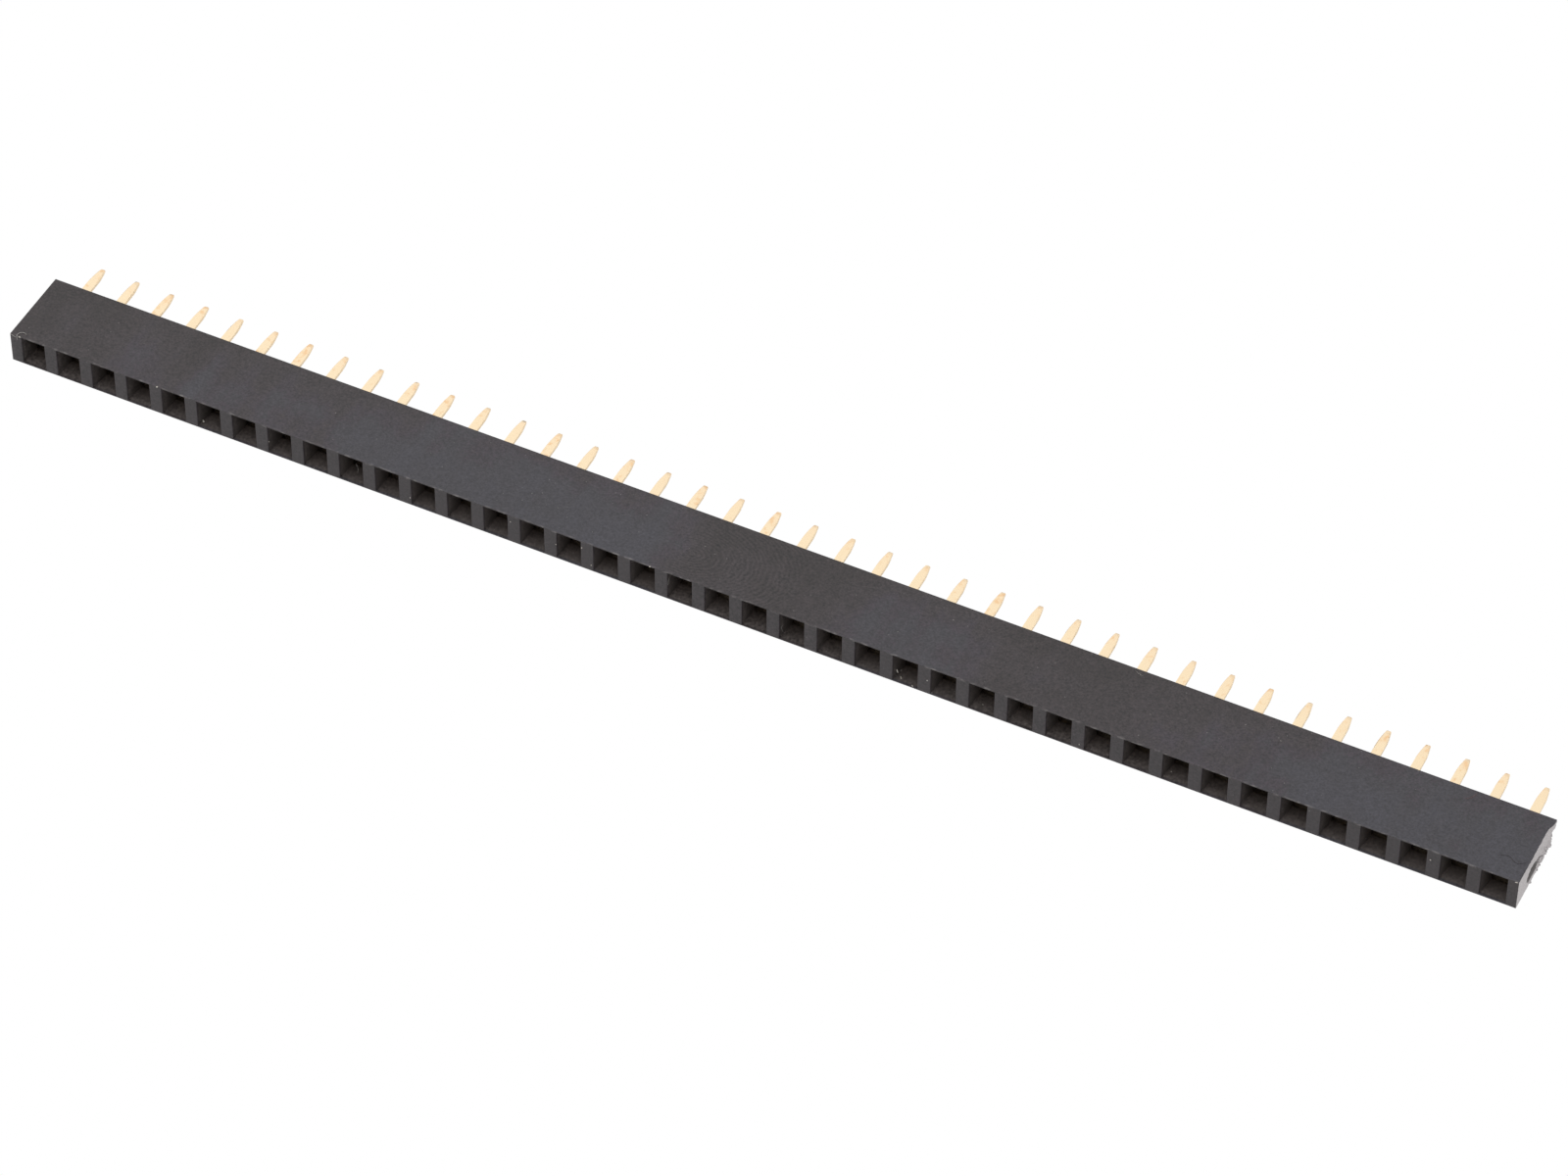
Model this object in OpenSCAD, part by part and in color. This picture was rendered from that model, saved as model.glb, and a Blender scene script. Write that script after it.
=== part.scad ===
// Female pin header strip: one row of sockets on a 2.54 mm pitch, low profile.
//
// The strip lies on one of its broad sides. +X runs along the row, the mating
// face with the sockets looks towards -Y, the solder tails point towards +Y and
// +Z is up. The origin is at the middle of the box around the whole part, on the
// plane that it lies on.
//
// One moulded housing holds a stamped and folded contact in each position.

/* [Row] */
// Number of positions in the row
positions = 40; // [2:1:50]
// Distance from one position to the next
pitch = 2.54; // [2.1:0.01:3.96]
// Plastic beyond the first pitch cell, at the moulded end
moulded_end = 0.38; // [0.1:0.01:1]
// Plastic beyond the last pitch cell, at the snapped end
snapped_end = 0.25; // [0.1:0.01:0.6]
// How far the torn corner of the snapped end stands out
torn_corner = 0.18; // [0.05:0.01:0.3]
// Depth of the hollow that the break left in the snapped end
torn_hollow = 0.28; // [0.1:0.01:0.35]

/* [Housing] */
// Height of the housing, from the mating face to the board face
body_h = 5.6; // [5.3:0.05:9]
// Width of the housing, across the row
body_w = 2.3; // [2:0.05:3.2]
// Width of a mouth, along the row
mouth_w = 1.7; // [1.5:0.05:1.9]
// Plastic left between a mouth and each broad side
mouth_lip = 0.07; // [0.05:0.01:0.25]
// Depth of the tapered lead-in behind a mouth
lead_in = 1.2; // [0.6:0.05:1.5]
// Slope of the lead-in's four walls, in degrees
lead_slope = 15; // [5:0.5:16]
// Wall between a contact chamber and each broad side
side_wall = 0.23; // [0.15:0.01:0.4]

/* [Contact] */
// Thickness of the sheet that the contacts are stamped from
sheet = 0.25; // [0.15:0.01:0.3]
// Width of the folded box and of its two leaves
box_w = 1.1; // [0.9:0.05:1.35]
// Length of the folded box
box_l = 0.95; // [0.8:0.05:1.35]
// Length of the spring leaves, from the box to their tips
leaf_l = 1.8; // [1.6:0.05:2.2]
// Gap between the two leaves where they grip a pin
grip_gap = 0.42; // [0.3:0.01:0.55]
// Height of the barbs that hold the box in its chamber
barb_h = 0.1; // [0.05:0.01:0.15]
// Clearance between a contact and the broad walls of its chamber
side_fit = 0.03; // [0.01:0.01:0.08]
// Gap between the leaf tips and the end of the lead-in
tip_gap = 0.55; // [0.05:0.05:0.7]

/* [Solder tail] */
// Width of a tail
tail_w = 0.6; // [0.4:0.05:0.8]
// Length of a tail outside the board face
tail_l = 3.05; // [2:0.05:4]
// Length of the tapered end of a tail
point_l = 1.05; // [0.6:0.05:1.6]
// Width of a tail's blunt tip
point_w = 0.3; // [0.15:0.01:0.35]

/* [Hidden] */
function contact_name(i) = str("contact_", i < 10 ? "0" : "", i);

strip_l = moulded_end + positions * pitch + snapped_end;
whole_l = strip_l + torn_corner;
whole_h = body_h + tail_l;
first_x = -whole_l / 2 + moulded_end + pitch / 2;
snapped_x = -whole_l / 2 + strip_l;
mating_y = -whole_h / 2;

mouth_h = body_w - 2 * mouth_lip;
throat_w = mouth_w - 2 * lead_in * tan(lead_slope);
throat_h = mouth_h - 2 * lead_in * tan(lead_slope);
chamber_w = box_w + 2 * barb_h;
chamber_h = body_w - 2 * side_wall;

tip_y = lead_in + tip_gap;
box_y = tip_y + leaf_l;
box_end = box_y + box_l;
box_z = (chamber_h - sheet) / 2 - side_fit;
leaf_rise = box_z - (grip_gap + sheet) / 2;
leaf_steps = 12;
jog_l = 0.65;
jog_end = box_end + jog_l;
barb_l = 0.3;
barb_land = 0.05;
point_steps = 6;
point_curve = 1.35; // above 1, a tail narrows ever faster towards its tip
tip_chamfer = 0.05;
coin_l = 0.35; // length over which the tip is coined thinner
coin_depth = 0.08;
cut_over = 1; // how far a cut runs past an open face
meet = 0.001; // how far one cut runs into the next

// Outline of the hollow in the snapped end, as shares of the housing's height
// and width, and the part of its height that the hollow takes.
torn_from = 0.3;
torn_to = 0.8;
torn_edge = [[torn_from, 0.21], [0.32, 0.56], [0.45, 0.64], [0.6, 0.54],
             [torn_to, 0.42], [0.76, 0.23], [0.54, 0.15]];
// Height share at which the hollow reaches its full depth, and then this share
// of the depth where it starts to climb back.
torn_floor = 0.363;
torn_rise = 0.6;
torn_rise_depth = 0.4;
// Shares of the housing's height and width where the torn corner starts, and
// the shares of the height between which it stands out fully.
lug_from = 0.84;
lug_low = 0.7;
lug_full = [0.95, 0.98];

plastic = [0.13, 0.12, 0.12];
gold = [0.93, 0.78, 0.5];

// Moves a shape drawn at the origin, with its mating face at y = 0 and its
// middle plane at z = 0, to position i of the row.
module at_position(i)
    translate([first_x + (i - 1) * pitch, mating_y, body_w / 2]) children();

// An outline drawn as [y, z] points, drawn out along X to the width w.
module across_row(w)
    rotate([90, 0, 90]) linear_extrude(w, center = true) children();

// ---- Housing ---------------------------------------------------------------

// The pyramid that guides a pin: its side walls and its floor and roof lean in
// by the same slope, so it is where two tapered slots cross.
module lead_in_pocket() {
    throat_end = lead_in + meet;
    intersection() {
        linear_extrude(body_w, center = true)
            polygon([[-mouth_w / 2, 0], [mouth_w / 2, 0],
                     [throat_w / 2, throat_end], [-throat_w / 2, throat_end]]);
        across_row(pitch)
            polygon([[0, -mouth_h / 2], [0, mouth_h / 2],
                     [throat_end, throat_h / 2], [throat_end, -throat_h / 2]]);
    }
}

// The straight chamber that a contact is pushed into from the board face.
module chamber()
    translate([-chamber_w / 2, lead_in, -chamber_h / 2])
        cube([chamber_w, body_h - lead_in + cut_over, chamber_h]);

// The hollow in the snapped end: an irregular outline in the end face, over a
// floor that drops steeply near the mating face and climbs back out of it.
module torn_pocket() {
    from = torn_from * body_h;
    to = torn_to * body_h;
    intersection() {
        across_row(2 * torn_hollow)
            polygon([for (p = torn_edge) [p.x * body_h, p.y * body_w]]);
        linear_extrude(body_w)
            polygon([[torn_hollow, from], [0, from], [-torn_hollow, torn_floor * body_h],
                     [-torn_rise_depth * torn_hollow, torn_rise * body_h],
                     [0, to], [torn_hollow, to]]);
    }
}

// The corner beside the board face that tore out of the next position's wall.
module torn_lug()
    translate([0, 0, lug_low * body_w])
        linear_extrude((1 - lug_low) * body_w)
            polygon([[-torn_corner, lug_from * body_h], [0, lug_from * body_h],
                     [torn_corner, lug_full[0] * body_h], [torn_corner, lug_full[1] * body_h],
                     [torn_corner / 2, body_h], [-torn_corner, body_h]]);

module housing() {
    color(plastic)
    difference() {
        union() {
            translate([-whole_l / 2, mating_y, 0])
                cube([strip_l, body_h, body_w]);
            translate([snapped_x, mating_y, 0]) torn_lug();
        }
        translate([snapped_x, mating_y, 0]) torn_pocket();
        for (i = [1 : positions])
            at_position(i) {
                lead_in_pocket();
                chamber();
            }
    }
}

// ---- Contact ---------------------------------------------------------------

// Middle line of one leaf, from its tip to where it joins the box: a half wave
// that brings the leaf in to the grip and flares its tip out again.
leaf_line = [for (k = [0 : leaf_steps])
    [tip_y + leaf_l * k / leaf_steps, leaf_rise * sin(180 * k / leaf_steps) - box_z]];

// Middle line of the sheet that runs from a leaf through the floor of the box
// and up the jog into the tail.
tail_line = concat(leaf_line,
    [[box_end, -box_z], [jog_end, 0], [body_h + tail_l, 0]]);

function unit(v) = v / norm(v);
function side(v) = [-v.y, v.x];

// The point of a line's edge beside point k, half a sheet to one side: the bends
// are mitred so that the sheet keeps its thickness.
function edge_point(line, k, half) =
    let (last = len(line) - 1,
         before = k > 0 ? side(unit(line[k] - line[k - 1])) : side(unit(line[1] - line[0])),
         after = k < last ? side(unit(line[k + 1] - line[k])) : before,
         middle = unit(before + after))
    line[k] + middle * half / (middle * before);

// A line of [y, z] points made into a strip of sheet.
module sheet_profile(line) {
    n = len(line) - 1;
    polygon(concat([for (k = [0 : n]) edge_point(line, k, sheet / 2)],
                   [for (k = [n : -1 : 0]) edge_point(line, k, -sheet / 2)]));
}

// Flat outline of the leaf, the box floor and the tail with its tapered end.
module tail_outline() {
    end = body_h + tail_l;
    curve_l = point_l - tip_chamfer;
    narrowed = (tail_w - point_w) / 2;
    sides = concat(
        [[box_w / 2, 0], [box_w / 2, box_end], [tail_w / 2, box_end]],
        [for (k = [0 : point_steps]) let (t = k / point_steps)
            [tail_w / 2 - narrowed * pow(t, point_curve), end - point_l + curve_l * t]],
        [[point_w / 2 - tip_chamfer, end]]);
    polygon(concat(sides, [for (k = [len(sides) - 1 : -1 : 0]) [-sides[k].x, sides[k].y]]));
}

// The sharp end of the tail is coined thinner on both faces.
module tail_coining() {
    end = body_h + tail_l;
    reach = box_z + sheet;
    half = sheet / 2;
    across_row(pitch)
        polygon([[0, -reach], [end - coin_l, -reach], [end - coin_l, -half],
                 [end, coin_depth - half], [end, half - coin_depth],
                 [end - coin_l, half], [end - coin_l, reach], [0, reach]]);
}

// A barb's ramp faces the mating side, and its steep back keeps the contact in.
module barb(height)
    linear_extrude(height, center = true)
        polygon([[0, 0], [0, barb_l],
                 [barb_h, barb_l], [barb_h, barb_l - barb_land]]);

module barbs() {
    barb_y = box_y + (box_l - barb_l) / 2;
    for (z = [-box_z, box_z])
        translate([box_w / 2, barb_y, z]) barb(sheet);
    translate([-box_w / 2, barb_y, 0]) mirror([1, 0, 0]) barb(box_z);
}

module contact(i) {
    color(gold)
    at_position(i) {
        intersection() {
            across_row(box_w) sheet_profile(tail_line);
            linear_extrude(body_w, center = true) tail_outline();
            tail_coining();
        }
        mirror([0, 0, 1]) across_row(box_w)
            sheet_profile(concat(leaf_line, [[box_end, -box_z]]));
        translate([-box_w / 2, box_y, -box_z])
            cube([sheet, box_l, 2 * box_z]);
        barbs();
    }
}

housing();
for (i = [1 : positions])
    contact(i);
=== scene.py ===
"""A female pin header strip: forty sockets in one slim black housing, lying on its broad side."""

import math

import bmesh
import bpy
from mathutils import Matrix, Vector, noise


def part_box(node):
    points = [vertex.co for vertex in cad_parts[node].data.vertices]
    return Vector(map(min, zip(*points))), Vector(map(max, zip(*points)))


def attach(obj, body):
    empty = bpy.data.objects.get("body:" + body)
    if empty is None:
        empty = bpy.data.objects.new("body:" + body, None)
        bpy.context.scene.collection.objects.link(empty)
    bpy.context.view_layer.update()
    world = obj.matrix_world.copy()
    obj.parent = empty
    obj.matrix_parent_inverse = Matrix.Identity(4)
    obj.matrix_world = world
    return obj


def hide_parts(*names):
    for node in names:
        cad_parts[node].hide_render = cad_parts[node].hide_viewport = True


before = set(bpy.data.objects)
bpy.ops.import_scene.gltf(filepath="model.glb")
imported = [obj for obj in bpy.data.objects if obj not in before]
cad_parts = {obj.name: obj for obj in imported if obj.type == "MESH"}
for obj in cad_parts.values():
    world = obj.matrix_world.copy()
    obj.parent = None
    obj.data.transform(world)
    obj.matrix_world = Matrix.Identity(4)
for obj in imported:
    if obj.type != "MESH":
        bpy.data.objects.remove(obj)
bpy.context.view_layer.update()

# ---- Housing -----------------------------------------------------------------
# One injection moulding in black glass-filled nylon, cut from a longer strip. Its
# left end is as moulded. The right end was snapped off, so it is torn.

mm = 0.001
positions = sum(name.startswith("contact_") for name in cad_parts)
first_low, first_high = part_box("contact_01")
second_low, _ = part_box("contact_02")
housing_low, housing_high = (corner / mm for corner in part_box("housing"))

pitch = (second_low.x - first_low.x) / mm
housing_w = housing_high.z - housing_low.z
housing_h = housing_high.y - housing_low.y
mating_y, board_y = housing_low.y, housing_high.y
moulded_end = 0.38
torn_corner = 0.18
snapped_x = housing_high.x - torn_corner
first_x = housing_low.x + moulded_end + pitch / 2

mouth_w, mouth_lip = 1.7, 0.07
mouth_h = housing_w - 2 * mouth_lip
lead_in, lead_slope = 1.2, math.tan(math.radians(15))
chamber_w, side_wall = 1.3, 0.23
chamber_h = housing_w - 2 * side_wall
rim_side, rim_lip, rim_depth = 0.06, 0.02, 0.045
rim_steps = 4
corner_round = 0.045
board_round = 0.02


def wall_grid(bm, across, up, depth):
    """A flat wall that crosses the strip at one depth, ruled along the lines across and up."""
    wall = bmesh.ops.create_grid(
        bm, x_segments=len(across) - 1, y_segments=len(up) - 1, size=1
    )["verts"]
    for v in wall:
        column = round((v.co.x + 1) / 2 * (len(across) - 1))
        row = round((v.co.y + 1) / 2 * (len(up) - 1))
        v.co = (across[column], depth, up[row])


def lines(span, opening):
    """The four lines that frame an opening in the middle of a span."""
    return [0, (span - opening) / 2, (span + opening) / 2, span]


def face_at(bm, spot):
    """The face whose middle is nearest to a spot."""
    return min(bm.faces, key=lambda f: (f.calc_center_median() - Vector(spot)).length)


def sink(bm, face, width, height, depth):
    """Pushes a face into the body to a depth, brought to a width and height, and returns it."""
    pushed = bmesh.ops.extrude_face_region(bm, geom=[face])["geom"]
    if face.is_valid:
        bm.faces.remove(face)
    rim = [g for g in pushed if isinstance(g, bmesh.types.BMVert)]
    middle = sum((v.co for v in rim), Vector()) / len(rim)
    for v in rim:
        v.co.x = middle.x + math.copysign(width / 2, v.co.x - middle.x)
        v.co.z = middle.z + math.copysign(height / 2, v.co.z - middle.z)
        v.co.y = depth
    return next(g for g in pushed if isinstance(g, bmesh.types.BMFace))


# One pitch cell: a rounded rim, the tapered mouth, the throat's ledge and the chamber.
body = bmesh.new()
wall_grid(
    body, lines(pitch, mouth_w + 2 * rim_side), lines(housing_w, mouth_h + 2 * rim_lip), 0
)
mouth = face_at(body, (pitch / 2, 0, housing_w / 2))
for step in range(1, rim_steps + 1):
    turn = math.pi / 2 * step / rim_steps
    depth = rim_depth * (1 - math.cos(turn))
    left = 1 - math.sin(turn)
    mouth = sink(
        body,
        mouth,
        mouth_w + 2 * (rim_side * left - depth * lead_slope),
        mouth_h + 2 * (rim_lip * left - depth * lead_slope),
        depth,
    )
narrowing = 2 * lead_in * lead_slope
throat = sink(body, mouth, mouth_w - narrowing, mouth_h - narrowing, lead_in)
ledge = sink(body, throat, chamber_w, chamber_h, lead_in)
chamber_end = sink(body, ledge, chamber_w, chamber_h, housing_h)
body.faces.remove(chamber_end)
wall_grid(body, lines(pitch, chamber_w), lines(housing_w, chamber_h), housing_h)
body.faces.remove(face_at(body, (pitch / 2, housing_h, housing_w / 2)))
bmesh.ops.remove_doubles(body, verts=body.verts, dist=0.001)
for side in (0, housing_w):
    rims = [e for e in body.edges if all(abs(v.co.z - side) < 0.001 for v in e.verts)]
    bmesh.ops.bridge_loops(body, edges=rims)

# The cell repeats along the row, and the two ends close it.
cell = body.verts[:] + body.edges[:] + body.faces[:]
for place in range(1, positions):
    copied = bmesh.ops.duplicate(body, geom=cell)["geom"]
    moved = [g for g in copied if isinstance(g, bmesh.types.BMVert)]
    bmesh.ops.translate(body, vec=(place * pitch, 0, 0), verts=moved)
bmesh.ops.remove_doubles(body, verts=body.verts, dist=0.001)
bmesh.ops.translate(body, vec=(first_x - pitch / 2, mating_y, 0), verts=body.verts)
for cell_end, outer_end in (
    (first_x - pitch / 2, housing_low.x),
    (first_x + (positions - 0.5) * pitch, snapped_x),
):
    rim = [e for e in body.edges if e.is_boundary and abs(e.verts[0].co.x - cell_end) < 0.001]
    cap = bmesh.ops.extrude_edge_only(body, edges=rim)["geom"]
    cap_rim = [g for g in cap if isinstance(g, bmesh.types.BMVert)]
    bmesh.ops.translate(body, vec=(outer_end - cell_end, 0, 0), verts=cap_rim)
    bmesh.ops.contextual_create(body, geom=[g for g in cap if isinstance(g, bmesh.types.BMEdge)])
bmesh.ops.recalc_face_normals(body, faces=body.faces)


def lies_at(edge, axis, *levels):
    """Whether an edge lies wholly in one of the planes at those levels of an axis."""
    return any(all(abs(v.co[axis] - level) < 0.001 for v in edge.verts) for level in levels)


def outer(edge):
    """Whether an edge is one of the box's own, away from the torn end."""
    return (
        lies_at(edge, 0, housing_low.x)
        + lies_at(edge, 1, mating_y, board_y)
        + lies_at(edge, 2, 0, housing_w)
        > 1
    )


def round_edges(bm, chosen, rounding, segments=2):
    """Rounds the edges among those chosen where two faces meet at a clear angle."""
    sharp = [e for e in bm.edges if chosen(e) and e.is_manifold and e.calc_face_angle() > 0.5]
    bmesh.ops.bevel(
        bm,
        geom=sharp,
        offset=rounding,
        segments=segments,
        profile=0.5,
        affect="EDGES",
        material=-1,
        clamp_overlap=True,
    )


def around_chamber(edge):
    """Whether an edge lies in the board face, inside the box's own edges."""
    on_side = lies_at(edge, 0, snapped_x) or lies_at(edge, 2, 0, housing_w)
    return lies_at(edge, 1, board_y) and not on_side


round_edges(body, outer, corner_round)
round_edges(body, around_chamber, board_round)

# The torn end is ruled finely, so that its surface can be broken up.
torn_reach = 0.42
along_rules = 5
rule = 0.07
torn_start = snapped_x - torn_reach
lengthwise, inward, upright = Vector((1, 0, 0)), Vector((0, 1, 0)), Vector((0, 0, 1))
cuts = [
    (lengthwise * (torn_start + step * torn_reach / along_rules), lengthwise)
    for step in range(along_rules)
]
cuts += [
    (inward * (mating_y + step * rule), inward)
    for step in range(1, int(housing_h / rule) + 1)
]
cuts += [(upright * step * rule, upright) for step in range(1, int(housing_w / rule) + 1)]
for cut_at, cut_normal in cuts:
    end_faces = [f for f in body.faces if f.calc_center_median().x > torn_start - 0.4]
    if cut_normal != lengthwise:
        end_faces = [f for f in end_faces if min(v.co.x for v in f.verts) > torn_start - 0.001]
    region = {e for f in end_faces for e in f.edges} | {v for f in end_faces for v in f.verts}
    bmesh.ops.bisect_plane(
        body, geom=list(region) + end_faces, dist=0.0005, plane_co=cut_at, plane_no=cut_normal
    )


def ramp(value, start, end):
    """0 before start, 1 after end, and a smooth climb between."""
    share = min(1, max(0, (value - start) / (end - start)))
    return share * share * (3 - 2 * share)


def along(value, stops):
    """The height at value of a line through (place, height) stops."""
    for (a, low), (b, high) in zip(stops, stops[1:]):
        if value <= b:
            return low + (high - low) * max(0, value - a) / (b - a)
    return stops[-1][1]


hollow_from, hollow_to = 1.55, 4.4


def tear(depth, up):
    """How far the torn end stands out, at a depth from the mating face and a height."""
    # It broke smoothly beside the mating face and roughly behind it, most of all low down
    # towards the board face.
    torn = ramp(depth, 1.0, 1.7)
    grain = noise.fractal(Vector((depth * 7, up * 7, 2.0)), 0.9, 2.2, 4)
    tufts = noise.fractal(Vector((depth * 2.2, up * 3.1, 9.0)), 1.0, 2.0, 3)
    height = grain * (0.003 + 0.014 * torn) + tufts * 0.03 * torn
    height += grain * 0.1 * ramp(depth, 2.9, 3.5) * (1 - ramp(up, 0.5, 1.3))

    # A hollow broke out between a roof and a sill, steep at both.
    roof = along(depth, [(hollow_from, 0.8), (1.8, 1.35), (2.6, 1.4), (3.3, 1.15), (hollow_to, 0.9)])
    sill = along(depth, [(hollow_from, 0.6), (1.9, 0.34), (2.8, 0.3), (3.3, 0.5), (hollow_to, 0.8)])
    deepest = along(
        depth, [(hollow_from, 0), (1.75, 0.24), (2.9, 0.25), (3.25, 0.05), (hollow_to, 0)]
    )
    if hollow_from < depth < hollow_to and sill < up < roof:
        share = (roof - up) / (roof - sill)
        height -= deepest * min(1, share / 0.15, (1 - share) / 0.3)

    # A burr stands beside its lower edge, and a lug of the next position's wall at the
    # upper corner beside the board face.
    burr = (1 - ramp(abs(depth - 2.22), 0.03, 0.14)) * (1 - ramp(up, 0.08, 0.32))
    lug = ramp(depth, 0.82 * housing_h, 0.93 * housing_h)
    lug *= ramp(up, 0.65 * housing_w, 0.76 * housing_w)
    return height + 0.1 * burr + torn_corner * lug * (0.92 + 0.08 * grain)


# The faces beside the tear are nibbled too, more and more towards it.
skin = 0.02
for v in body.verts:
    follow = ramp(v.co.x, torn_start, snapped_x)
    if follow > 0:
        depth, up = v.co.y - mating_y, v.co.z
        v.co.x += tear(depth, up) * follow
        wear = noise.fractal(Vector((depth * 3, up * 4, v.co.x * 3)), 1.0, 2.0, 3)
        nibbled = follow**2
        if depth > housing_h - skin:
            notch = ramp(up, 0.8, 1.0) * (1 - ramp(up, 1.5, 1.7))
            low_corner = 1 - ramp(up, 0, 0.25)
            v.co.y -= (max(0, wear) * 0.16 + 0.1 * notch + 0.2 * low_corner) * nibbled
        if up < skin:
            v.co.z += max(0, wear + 0.1) * 0.1 * nibbled * ramp(depth, 0.8, 1.6)
        if up > housing_w - skin:
            v.co.z -= max(0, wear + 0.1) * 0.04 * nibbled


def finish_mesh(bm, name, material, replaced=()):
    """Turns a mesh drawn in millimetres into a piece of the strip."""
    bmesh.ops.scale(bm, vec=(mm, mm, mm), verts=bm.verts)
    mesh = bpy.data.meshes.new(name)
    bm.to_mesh(mesh)
    bm.free()
    mesh.polygons.foreach_set("use_smooth", [True] * len(mesh.polygons))
    mesh.set_sharp_from_angle(angle=math.radians(40))
    mesh.materials.append(material)
    piece = bpy.data.objects.new(name, mesh)
    bpy.context.scene.collection.objects.link(piece)
    even = piece.modifiers.new("even_faces", "WEIGHTED_NORMAL")
    even.keep_sharp = True
    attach(piece, "root")
    if replaced:
        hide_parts(*replaced)


class Finish:
    """A material being built: its nodes are added by type, with their sockets set by name."""

    def __init__(self, name, group_inputs=None, group_outputs=None):
        if group_inputs is None:
            self.material = bpy.data.materials.new(name)
            self.material.use_nodes = True
            self.tree = self.material.node_tree
            self.tree.nodes.clear()
        else:
            self.tree = bpy.data.node_groups.new(name, "ShaderNodeTree")
            for socket, kind, default in group_inputs:
                made = self.tree.interface.new_socket(socket, in_out="INPUT", socket_type=kind)
                if default is not None:
                    made.default_value = default
            for socket, kind in group_outputs:
                self.tree.interface.new_socket(socket, in_out="OUTPUT", socket_type=kind)

    def add(self, kind, settings=None, **sockets):
        """A node of that kind. A socket takes a number, a colour or another node's output."""
        node = self.tree.nodes.new("ShaderNode" + kind if kind[:4] != "Node" else kind)
        for name, value in (settings or {}).items():
            setattr(node, name, value)
        for name, value in sockets.items():
            place = int(name[1:]) if name[0] == "_" else name.replace("_", " ")
            if isinstance(value, bpy.types.NodeSocket):
                self.tree.links.new(value, node.inputs[place])
            else:
                node.inputs[place].default_value = value
        return node

    def place(self, size):
        """Object coordinates in millimetres, divided by size."""
        where = self.add("TexCoord").outputs["Object"]
        return self.add("Mapping", Vector=where, Scale=[1 / (mm * s) for s in size]).outputs[0]

    def lumps(self, size, detail=2.0):
        """A soft uneven value from 0 to 1, whose lumps are about size across in millimetres."""
        where = self.place(size)
        return self.add("TexNoise", Vector=where, Scale=1.0, Detail=detail).outputs["Fac"]

    def sum(self, kind, a, b):
        """Two values added, multiplied or compared, as kind says."""
        return self.add("Math", {"operation": kind}, _0=a, _1=b).outputs[0]

    def blend(self, share, a, b, kind="MIX"):
        """A colour between a and b."""
        mixed = self.add("Mix", {"data_type": "RGBA", "blend_type": kind}, _0=share, _6=a, _7=b)
        return mixed.outputs[2]

    def cover(self, **sockets):
        """Gives the material its surface, with these sockets set."""
        shell = self.add("BsdfPrincipled", **sockets)
        self.add("OutputMaterial", Surface=shell.outputs[0])

    def scale_of(self, value, stops):
        """A colour read off a scale of (place, colour) stops, where value runs from 0 to 1."""
        node = self.add("ValToRGB", None, Fac=value)
        scale = node.color_ramp.elements
        scale.remove(scale[1])
        scale[0].position, scale[0].color = stops[0]
        for place, colour in stops[1:]:
            scale.new(place).color = colour
        return node.outputs["Color"]

    def spread(self, value, low, high, to_low=0.0, to_high=1.0):
        """A value brought from the range low to high into another range, and kept within it."""
        made = self.add("MapRange", None, _0=value, _1=low, _2=high, _3=to_low, _4=to_high)
        return made.outputs[0]


# Dust and lint that has settled on a surface: few specks, each in its own cell.
dust = Finish(
    "settled_dust",
    [("Place", "NodeSocketVector", None), ("Amount", "NodeSocketFloat", 0.2)],
    [("Mask", "NodeSocketFloat")],
)
dust_in = dust.add("NodeGroupInput")
ragged = dust.add("TexNoise", Vector=dust_in.outputs["Place"], Scale=9.0, Detail=1.0)
nudged = dust.add(
    "VectorMath",
    {"operation": "MULTIPLY_ADD"},
    _0=ragged.outputs["Color"],
    _1=(0.06, 0.06, 0.06),
    _2=dust_in.outputs["Place"],
)
cells = dust.add("TexVoronoi", Vector=nudged.outputs[0], Scale=1.0)
lot = dust.add("SeparateColor", Color=cells.outputs["Color"])
size = dust.spread(lot.outputs["Green"], 0.0, 1.0, 0.04, 0.11)
near = dust.sum("LESS_THAN", cells.outputs["Distance"], size)
kept = dust.sum("LESS_THAN", lot.outputs["Red"], dust_in.outputs["Amount"])
dust.add("NodeGroupOutput", Mask=dust.sum("MULTIPLY", near, kept))


def dusted(finish, size, amount):
    """The mask of the dust on a finish, whose specks lie about size apart."""
    specks = finish.add("Group", {"node_tree": dust.tree}, Place=finish.place(size), Amount=amount)
    return specks.outputs["Mask"]


nylon = Finish("black_nylon")
spot = nylon.add("SeparateXYZ", Vector=nylon.add("TexCoord").outputs["Object"])
along_row, into_depth, upward = spot.outputs
facing = nylon.add("SeparateXYZ", Vector=nylon.add("TexCoord").outputs["Normal"])
facing_x, _, facing_z = facing.outputs
clouds = nylon.lumps((3.5, 2.2, 3), 3.0)
streaks = nylon.lumps((1.1, 7, 3))
grain = nylon.lumps((0.2, 0.2, 0.2), 1.0)


def along_strip(*stops):
    """A value read off a scale of (place, value) stops along the housing."""
    whole = housing_high.x - housing_low.x
    from_left = nylon.spread(along_row, housing_low.x * mm, housing_high.x * mm)
    return nylon.scale_of(
        from_left, [((place - housing_low.x) / whole, (value,) * 3 + (1,)) for place, value in stops]
    )


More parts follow.
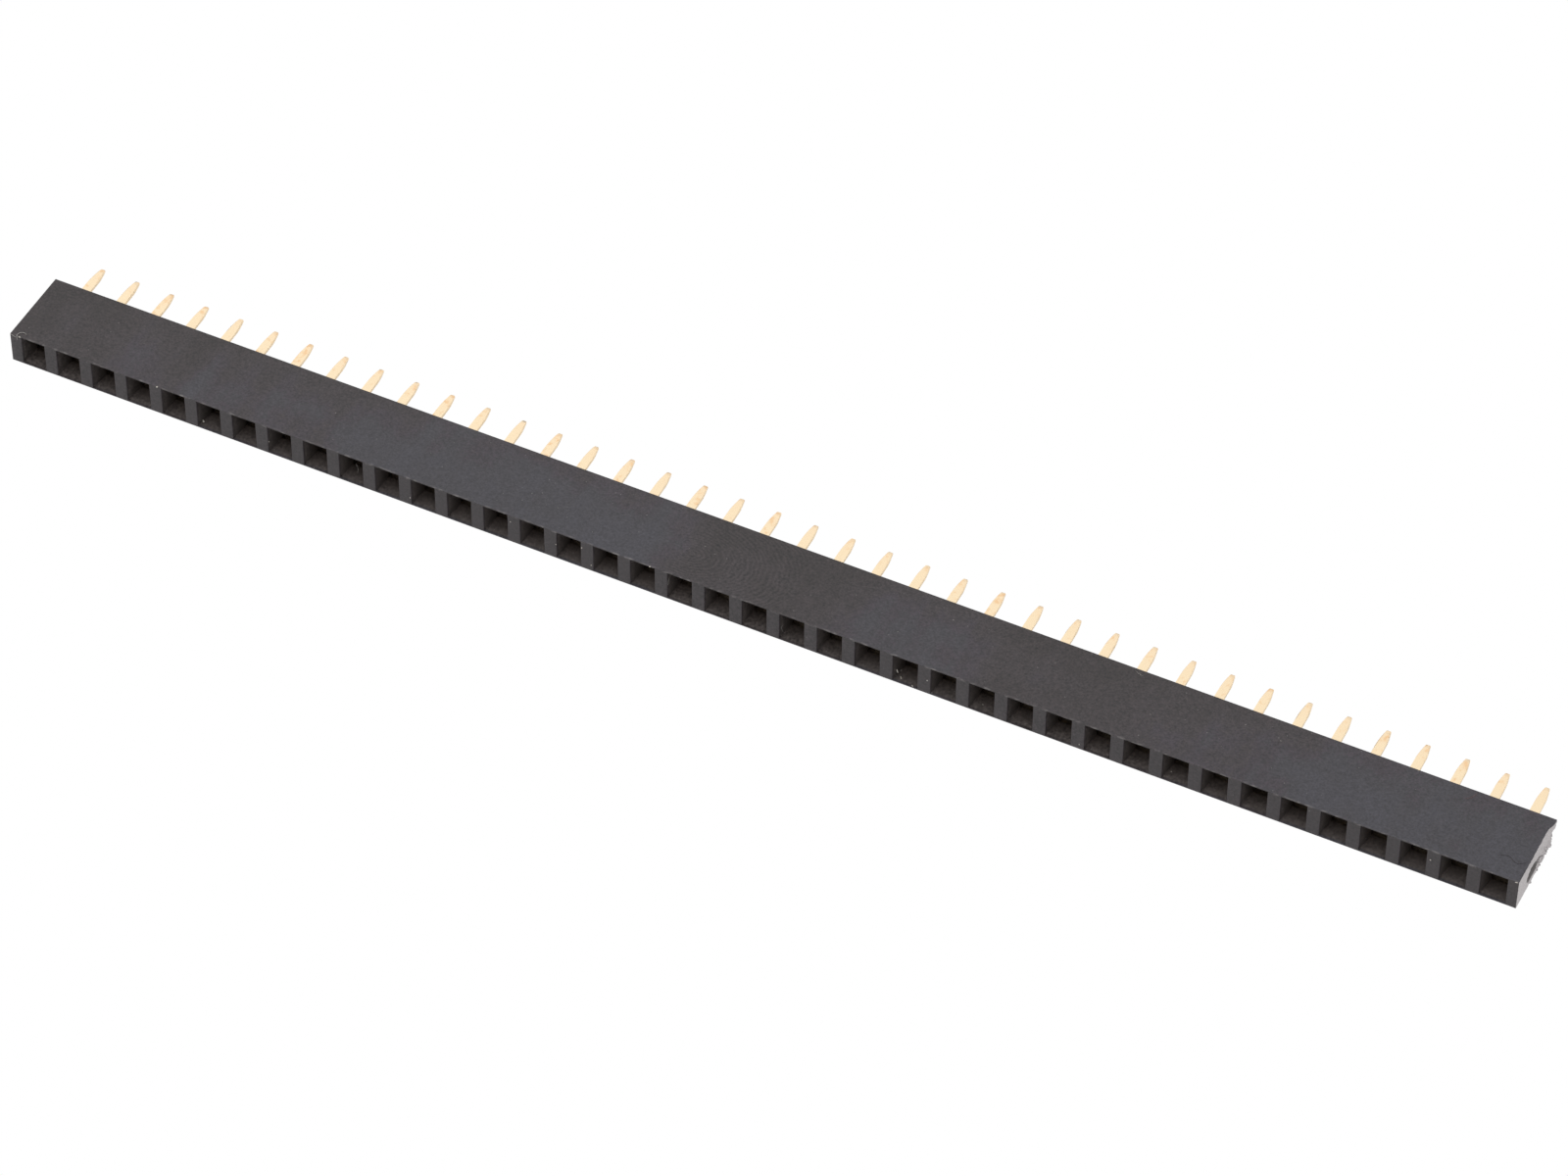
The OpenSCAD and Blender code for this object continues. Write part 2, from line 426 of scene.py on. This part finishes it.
# The melt set browner where it flowed last, in patches along the broad sides and
# towards the board face, and it is blue-grey between them.
patches = along_strip(
    (-49.8, 0.92),
    (-48.7, 0.56),
    (-47.3, 0.85),
    (-45.6, 0.66),
    (-43.2, 0.42),
    (-42.1, 0.55),
    (-40.9, 0.36),
    (-39.7, 0.9),
    (-38.4, 0.34),
    (-37, 0.5),
    (-35.6, 0.36),
    (-34.5, 0.5),
    (-33.2, 0.32),
    (-31.6, 0.5),
    (-30.4, 0.32),
    (-29.4, 0.45),
    (-28, 0.28),
    (-23, 0.22),
    (-6.5, 0.12),
    (-3.5, 0.8),
    (5, 0.8),
    (8.5, 0.25),
    (13.5, 0.3),
    (17.5, 0.78),
    (25, 0.72),
    (30, 0.45),
    (35, 0.38),
    (38, 0.08),
    (51, 0.12),
)
set_late = nylon.spread(into_depth, (mating_y + 2.4) * mm, board_y * mm, 0.0, 0.34)
warmth = nylon.sum("ADD", patches, set_late)
for unevenness, strength in ((clouds, 0.75), (streaks, 0.6), (grain, 0.3)):
    shifted = nylon.sum("SUBTRACT", unevenness, 0.5)
    warmth = nylon.sum("ADD", warmth, nylon.sum("MULTIPLY", shifted, strength))
tone = nylon.scale_of(
    warmth,
    [
        (0.05, (0.0415, 0.0395, 0.0490, 1)),
        (0.3, (0.0385, 0.0357, 0.0423, 1)),
        (0.45, (0.0372, 0.0296, 0.0374, 1)),
        (0.6, (0.0345, 0.0277, 0.0305, 1)),
        (0.8, (0.0310, 0.0243, 0.0260, 1)),
        (1.0, (0.0256, 0.0198, 0.0204, 1)),
    ],
)
broad = nylon.spread(nylon.sum("ABSOLUTE", facing_z, 0.0), 0.6, 0.9)
tone = nylon.blend(broad, (0.0287, 0.0235, 0.0256, 1), tone)
# Inside the mouths the colour is painted paler near the mating face and darker deeper in, a painted
# shade, and paler on faces that look up than on those that look down or sideways, a painted light.
inside = nylon.spread(into_depth, (mating_y + 0.08) * mm, (mating_y + 0.2) * mm)
below_top = nylon.spread(upward, (housing_w - 0.01) * mm, (housing_w - 0.06) * mm)
walls = nylon.sum("MULTIPLY", inside, below_top)
deeper = nylon.spread(into_depth, (mating_y + 0.2) * mm, (mating_y + lead_in) * mm)
painted_mouth_shade = nylon.blend(deeper, (0.060, 0.051, 0.048, 1), (0.024, 0.018, 0.015, 1))
painted_floor_light = nylon.spread(facing_z, 0.0, 0.9, 0.8, 1.3)
painted_mouth_shade = nylon.blend(1.0, painted_mouth_shade, painted_floor_light, "MULTIPLY")
tone = nylon.blend(walls, tone, painted_mouth_shade)

# Flow marks spread in fine arcs over the brown patch at the middle of the row, and the
# browner it set, the more its fine grain shows.
flow = nylon.add(
    "TexWave",
    {"wave_type": "RINGS", "rings_direction": "Z"},
    Vector=nylon.add(
        "Mapping",
        Vector=nylon.add("TexCoord").outputs["Object"],
        Location=(2.5, 2.1, 0.0),
        Scale=(0.62 / mm, 0.95 / mm, 1 / mm),
    ).outputs[0],
    Scale=1.6,
    Distortion=6.0,
    Detail=1.0,
    Detail_Scale=0.8,
).outputs["Fac"]
from_patch = nylon.sum("ABSOLUTE", nylon.sum("ADD", along_row, 0.9 * mm), 0.0)
flow_marks = nylon.sum(
    "MULTIPLY",
    nylon.sum("SUBTRACT", flow, 0.5),
    nylon.spread(from_patch, 4.6 * mm, 2.8 * mm, 0.0, 0.5),
)
flow_marks = nylon.sum("MULTIPLY", flow_marks, nylon.spread(clouds, 0.3, 0.55, 0.3, 1.0))
flow_marks = nylon.sum("MULTIPLY", flow_marks, broad)
speckle = nylon.sum("SUBTRACT", nylon.lumps((0.13, 0.13, 0.13), 1.0), 0.5)
speckle = nylon.sum("ADD", speckle, nylon.sum("SUBTRACT", grain, 0.5))
speckle = nylon.sum("MULTIPLY", speckle, nylon.spread(warmth, 0.2, 0.8, 1.0, 1.7))
mottle = nylon.sum("ADD", nylon.sum("ADD", speckle, flow_marks), 1.0)
tone = nylon.blend(1.0, tone, mottle, "MULTIPLY")

# Pale patches along the thin lips at the mating edge are a painted highlight, where the edges catch
# the light.
lip_highlight_lumps = nylon.lumps((0.5, 0.25, 0.25), 3.0)
at_edge = nylon.sum(
    "MULTIPLY",
    nylon.spread(into_depth, (mating_y + 0.14) * mm, (mating_y + 0.03) * mm),
    nylon.spread(upward, (housing_w - 0.13) * mm, (housing_w - 0.03) * mm),
)
painted_lip_highlight = nylon.sum("MULTIPLY", at_edge, nylon.spread(lip_highlight_lumps, 0.5, 0.72, 0.03, 0.6))
tone = nylon.blend(painted_lip_highlight, tone, (0.24, 0.225, 0.22, 1))

# Dust has gathered in drifts, and glass-filled nylon turns pale where it tears.
drifts = along_strip(
    (-51, 0.16),
    (-22, 0.14),
    (-13, 0.6),
    (-7, 0.65),
    (-4, 0.2),
    (28, 0.2),
    (33, 0.6),
    (37, 0.4),
    (44, 0.1),
)
specks = dusted(nylon, (0.4, 0.4, 0.4), drifts)
lint = dusted(nylon, (0.6, 0.5, 0.5), 0.05)
tone = nylon.blend(nylon.sum("MULTIPLY", specks, 0.4), tone, (0.24, 0.23, 0.22, 1))
tone = nylon.blend(nylon.sum("MULTIPLY", lint, 0.5), tone, (0.26, 0.25, 0.23, 1))
torn_pale = nylon.sum(
    "MAXIMUM",
    nylon.spread(along_row, (snapped_x - 0.05) * mm, (snapped_x - 0.01) * mm),
    nylon.spread(along_row, (snapped_x - 0.4) * mm, (snapped_x - 0.3) * mm, 0.0, 0.15),
)
torn_pale = nylon.sum("MULTIPLY", torn_pale, nylon.spread(facing_x, 0.3, 0.7))
tone = nylon.blend(torn_pale, tone, (0.468, 0.437, 0.44, 1))

relief = nylon.sum("ADD", flow_marks, grain)
bump = nylon.add("Bump", Strength=0.2, Distance=0.02 * mm, Height=relief)
nylon.cover(
    Base_Color=tone,
    Roughness=nylon.spread(grain, 0.3, 0.7, 0.4, 0.5),
    Normal=bump.outputs[0],
    IOR=1.5,
    Specular_IOR_Level=0.5,
)
finish_mesh(body, "moulded_housing", nylon.material, ["housing"])

# ---- Curled flash ------------------------------------------------------------
# Hairs of nylon that the mould left beside the left end. One hangs on the mating face
# and curls back over the broad side, and a shorter one lies along the edge.


def strands(routes, thick):
    """A mesh of hairs along routes in millimetres, which thin out towards both ends."""
    drawn = bpy.data.curves.new("route", "CURVE")
    drawn.dimensions = "3D"
    drawn.bevel_depth = thick / 2
    drawn.bevel_resolution = 2
    drawn.use_fill_caps = True
    for route in routes:
        line = drawn.splines.new("NURBS")
        line.points.add(len(route) - 1)
        for point, place in zip(line.points, route):
            point.co = (*place, 1)
        line.points[0].radius = line.points[-1].radius = 0.35
        line.use_endpoint_u = True
        line.resolution_u = 6
    holder = bpy.data.objects.new("route", drawn)
    made = bpy.data.meshes.new_from_object(holder)
    bm = bmesh.new()
    bm.from_mesh(made)
    bpy.data.meshes.remove(made)
    bpy.data.objects.remove(holder)
    bpy.data.curves.remove(drawn)
    bmesh.ops.remove_doubles(bm, verts=bm.verts, dist=0.0001)
    bmesh.ops.recalc_face_normals(bm, faces=bm.faces)
    return bm


hair_thick = 0.042
corner = Vector((housing_low.x, mating_y, housing_w))
lift = hair_thick / 2
curl = [
    (0.54, -lift, -0.34),
    (0.52, -lift, -0.15),
    (0.49, -0.01, 0.05),
    (0.5, 0.22, lift),
    (0.64, 0.42, lift),
    (0.86, 0.44, lift),
    (1.04, 0.34, lift),
]
along_edge = [(0.04, 0.0, -0.01), (0.2, -lift, -0.04), (0.34, -lift, -0.1), (0.44, -lift, -0.12)]
flash = strands([[corner + Vector(p) for p in route] for route in (curl, along_edge)], hair_thick)

hair = Finish("stretched_nylon")
pale = hair.blend(hair.lumps((0.06, 0.1, 0.06)), (0.22, 0.21, 0.2, 1), (0.42, 0.4, 0.38, 1))
hair.cover(Base_Color=pale, Roughness=0.45)
finish_mesh(flash, "curled_flash", hair.material)

# ---- Crumbs and hairs --------------------------------------------------------
# Swarf and lint from the snapping and the handling of the strip. It clings to the
# mouths' walls and rims, and a few hairs and coloured fibres lie on the broad side.


def mouth_spot(number, across, depth, height):
    """A place in or beside a mouth, from its middle, the mating face and the resting side."""
    return Vector((first_x + (number - 1) * pitch + across, mating_y + depth, height))


crumbs = bmesh.new()
for number, across, depth, height, size, length, lean in (
    (1, -0.93, 0.0, 2.28, 0.04, 2.4, 80),
    (5, -1.1, 0.0, 2.3, 0.055, 1.3, 30),
    (6, -0.66, 0.4, 0.26, 0.05, 2.4, -15),
    (8, -0.78, 0.05, 0.98, 0.025, 1.6, 20),
    (12, -0.92, 0.01, 0.62, 0.04, 1.2, 10),
    (14, 1.06, 0.0, 1.74, 0.035, 1.1, 0),
    (16, -0.88, 0.01, 1.2, 0.03, 1.5, 0),
    (16, 0.92, 0.0, 1.74, 0.04, 1.4, 15),
    (17, -0.98, 0.0, 0.5, 0.035, 1.2, 40),
    (18, 0.54, 0.0, 2.27, 0.045, 1.3, 70),
    (25, -0.66, 0.35, 0.6, 0.035, 4.2, -14),
    (25, -0.38, 0.3, 0.2, 0.03, 4.0, -18),
    (25, 0.5, 0.06, 0.13, 0.035, 1.8, -20),
    (26, -1.05, 0.0, 1.15, 0.035, 1.3, 0),
    (27, -0.1, 0.5, 0.24, 0.02, 1.4, 50),
    (30, -1.13, 0.0, 0.4, 0.035, 1.1, 0),
    (32, -0.45, 0.6, 0.26, 0.025, 1.2, 0),
    (38, 1.1, 0.0, 1.5, 0.035, 1.4, 60),
    (40, 1.36, 0.0, 2.24, 0.032, 3.0, 80),
):
    lump = bmesh.ops.create_icosphere(crumbs, subdivisions=2, radius=size)["verts"]
    for v in lump:
        v.co *= 1 + 0.35 * noise.noise(v.co / size * 0.9 + Vector((number, 0, 0)))
    bmesh.ops.scale(crumbs, vec=(1, 0.8, length), verts=lump)
    bmesh.ops.rotate(crumbs, verts=lump, matrix=Matrix.Rotation(math.radians(lean), 3, "Y"))
    bmesh.ops.translate(crumbs, vec=mouth_spot(number, across, depth, height), verts=lump)

swarf = Finish("pale_swarf")
pale = swarf.blend(swarf.lumps((0.08, 0.08, 0.08)), (0.3, 0.26, 0.21, 1), (0.62, 0.6, 0.56, 1))
swarf.cover(Base_Color=pale, Roughness=0.5)
finish_mesh(crumbs, "crumbs_of_swarf", swarf.material)

lint_thick = 0.018
top = housing_w + lint_thick / 2
lint_routes = [
    [mouth_spot(number, *place) for place in places]
    for number, places in (
        (10, ((0.1, 0.5, 1.3), (0.22, 0.5, 1.05), (0.25, 0.5, 0.75), (0.15, 0.5, 0.5))),
        (19, ((-0.76, 0.15, 1.75), (-0.8, 0.1, 1.5), (-0.79, 0.1, 1.3), (-0.83, 0.06, 1.1))),
        (22, ((-0.72, 0.3, 1.1), (-0.8, 0.2, 0.9), (-0.78, 0.2, 0.65), (-0.66, 0.3, 0.45))),
    )
]
lint_routes += [
    [Vector((*place, top)) for place in places]
    for places in (
        ((24.15, 1.06), (24.35, 0.92), (24.5, 0.84), (24.75, 0.86)),
        ((24.4, 1.08), (24.46, 0.98), (24.52, 0.9), (24.66, 0.74)),
    )
]
finish_mesh(strands(lint_routes, lint_thick), "caught_hairs", hair.material)

for name, colour, places in (
    ("red_fibre", (0.21, 0.1, 0.085, 1), ((46.2, 1.1), (46.18, 0.75), (46.0, 0.48), (45.7, 0.38))),
    (
        "brown_fibre",
        (0.022, 0.013, 0.012, 1),
        (
            (49.1, -2.86),
            (49.3, -2.78),
            (49.6, -2.63),
            (49.95, -2.73),
            (50.2, -3.06),
            (50.6, -2.97),
            (50.86, -2.6),
        ),
    ),
):
    fibre = Finish(name)
    fibre.cover(Base_Color=colour, Roughness=0.6)
    route = [Vector((*place, top)) for place in places]
    finish_mesh(strands([route], lint_thick), name, fibre.material)

# ---- Contacts ----------------------------------------------------------------
# Each is stamped from one strip of gold-plated phosphor bronze: a flat solder tail, a
# folded box that grips its chamber, and two leaves that close on a pin.

gold = Finish("gold_plating")
spot = gold.add("SeparateXYZ", Vector=gold.add("TexCoord").outputs["Object"])
facing = gold.add("SeparateXYZ", Vector=gold.add("TexCoord").outputs["Normal"])
one_of = gold.sum("DIVIDE", gold.sum("SUBTRACT", spot.outputs[0], first_low.x), pitch * mm)
lot = gold.add("TexWhiteNoise", {"noise_dimensions": "1D"}, W=gold.sum("FLOOR", one_of, 0.0))
patches = gold.lumps((0.3, 0.4, 0.3), 2.0)
drawn = gold.lumps((0.08, 1.2, 0.15), 1.0)
tail_tip = first_high.y
to_tip = gold.spread(spot.outputs[1], tail_tip - 1.5 * mm, tail_tip - 0.1 * mm)
near_tip = gold.sum("MULTIPLY", to_tip, 0.55)
tint = gold.blend(near_tip, (0.95, 0.776, 0.534, 1), (0.94, 0.73, 0.5, 1))
tint = gold.blend(gold.spread(drawn, 0.4, 0.7, 0.0, 0.12), tint, (0.9, 0.7, 0.47, 1))

# Heat has stained some tails orange near the tip. The sides that face left are a deeper colour.
# Those that face right are painted paler, a painted light, and are matte, and the cut tips show more
# of the bronze.
stain = gold.sum("ADD", patches, gold.sum("MULTIPLY", to_tip, 0.12))
stain = gold.sum("ADD", stain, gold.sum("MULTIPLY", lot.outputs["Value"], 0.16))
tint = gold.blend(gold.spread(stain, 0.68, 0.86, 0.0, 0.75), tint, (0.88, 0.57, 0.31, 1))
left_facing_sides = gold.spread(facing.outputs[0], -0.1, -0.7, 0.0, 0.7)
tint = gold.blend(left_facing_sides, tint, (0.9, 0.62, 0.36, 1))
# The sides that face right are painted paler, a painted light, and made rougher.
matte_and_painted_light = gold.spread(facing.outputs[0], 0.25, 0.8)
tint = gold.blend(matte_and_painted_light, tint, (1.0, 0.87, 0.67, 1))
rim = gold.spread(spot.outputs[1], tail_tip - 0.1 * mm, tail_tip - 0.02 * mm, 0.0, 0.3)
tint = gold.blend(rim, tint, (0.85, 0.62, 0.4, 1))
bump = gold.add("Bump", Strength=0.05, Distance=0.01 * mm, Height=drawn)
satin = gold.spread(patches, 0.3, 0.7, 0.24, 0.38)
rough = gold.sum("MAXIMUM", satin, gold.sum("MULTIPLY", matte_and_painted_light, 0.85))
gold.cover(Base_Color=tint, Metallic=1.0, Roughness=rough, Normal=bump.outputs[0])

rolled, coined = 0.09, 0.05
coin_l = 0.35


def tail_side(edge):
    """Whether an edge runs along a side of the solder tail, short of its coined tip."""
    near, far = sorted(v.co.y for v in edge.verts)
    runs_along = far - near > 2 * abs(edge.verts[0].co.x - edge.verts[1].co.x)
    return runs_along and board_y - 0.5 < near and far < tail_tip / mm - coin_l + 0.01


for number in range(1, positions + 1):
    node = f"contact_{number:02d}"
    stamped = bmesh.new()
    stamped.from_mesh(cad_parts[node].data)
    bmesh.ops.scale(stamped, vec=(1 / mm,) * 3, verts=stamped.verts)
    bmesh.ops.remove_doubles(stamped, verts=stamped.verts, dist=0.001)
    bmesh.ops.dissolve_limit(
        stamped, angle_limit=math.radians(1), verts=stamped.verts, edges=stamped.edges
    )
    round_edges(stamped, tail_side, rolled, 3)
    # The shortest edges hold this rounding back: it comes to 0.009 on a few contacts and
    # to nothing on most, where it leaves faces with almost no area.
    round_edges(stamped, lambda e: True, coined)
    finish_mesh(stamped, "stamped_" + node, gold.material, [node])

# ---- Table, light and camera -------------------------------------------------
# A white table under even studio light, seen from the mating side and well above. The
# table is a hair below the strip, and shows only from above.

table_half, table_drop = 1.5, 0.005 * mm
table = bmesh.new()
bmesh.ops.create_grid(
    table,
    x_segments=1,
    y_segments=1,
    size=table_half,
    matrix=Matrix.Translation((0, 0, -table_drop)),
)
mesh = bpy.data.meshes.new("table")
table.to_mesh(mesh)
table.free()
table_top = bpy.data.objects.new("table", mesh)
bpy.context.scene.collection.objects.link(table_top)
white = Finish("white_table")
glow = white.add("Emission", Color=(0.8, 0.8, 0.8, 1))
seen = white.add("Emission", Color=(1, 1, 1, 1))
by_eye = white.add("LightPath").outputs["Is Camera Ray"]
topside = white.add("MixShader", _0=by_eye, _1=glow.outputs[0], _2=seen.outputs[0])
clear = white.add("BsdfTransparent")
from_below = white.add("NewGeometry").outputs["Backfacing"]
sided = white.add("MixShader", _0=from_below, _1=topside.outputs[0], _2=clear.outputs[0])
white.add("OutputMaterial", Surface=sided.outputs[0])
table_top.data.materials.append(white.material)

scene = bpy.context.scene
room = bpy.data.worlds.new("studio")
scene.world = room
room.use_nodes = True
sky = room.node_tree
whence = sky.nodes.new("ShaderNodeTexCoord")
lean = sky.nodes.new("ShaderNodeVectorMath")
lean.operation = "DOT_PRODUCT"
lean.inputs[1].default_value = (-0.2, -0.12, 0.1)
level = sky.nodes.new("ShaderNodeMath")
level.inputs[1].default_value = 0.98
backdrop = sky.nodes["Background"]
backdrop.inputs["Color"].default_value = (1, 1, 1, 1)
sky.links.new(whence.outputs["Generated"], lean.inputs[0])
sky.links.new(lean.outputs["Value"], level.inputs[0])
sky.links.new(level.outputs[0], backdrop.inputs["Strength"])
scene.view_settings.view_transform = "Standard"

aim = Vector((1.816, -1.357, 1.217)) * mm
azimuth, elevation = math.radians(25.92), math.radians(46.30)
away = Vector(
    (
        math.sin(azimuth) * math.cos(elevation),
        -math.cos(azimuth) * math.cos(elevation),
        math.sin(elevation),
    )
)
distance = 387.03 * mm
lens = bpy.data.cameras.new("camera")
lens.lens = 145.77
lens.sensor_width = 36
lens.clip_start = 0.01
camera = bpy.data.objects.new("camera", lens)
scene.collection.objects.link(camera)
turn = away.to_track_quat("Z", "Y").to_matrix() @ Matrix.Rotation(math.radians(0.574), 3, "Z")
camera.matrix_world = Matrix.Translation(aim + away * distance) @ turn.to_4x4()
scene.camera = camera
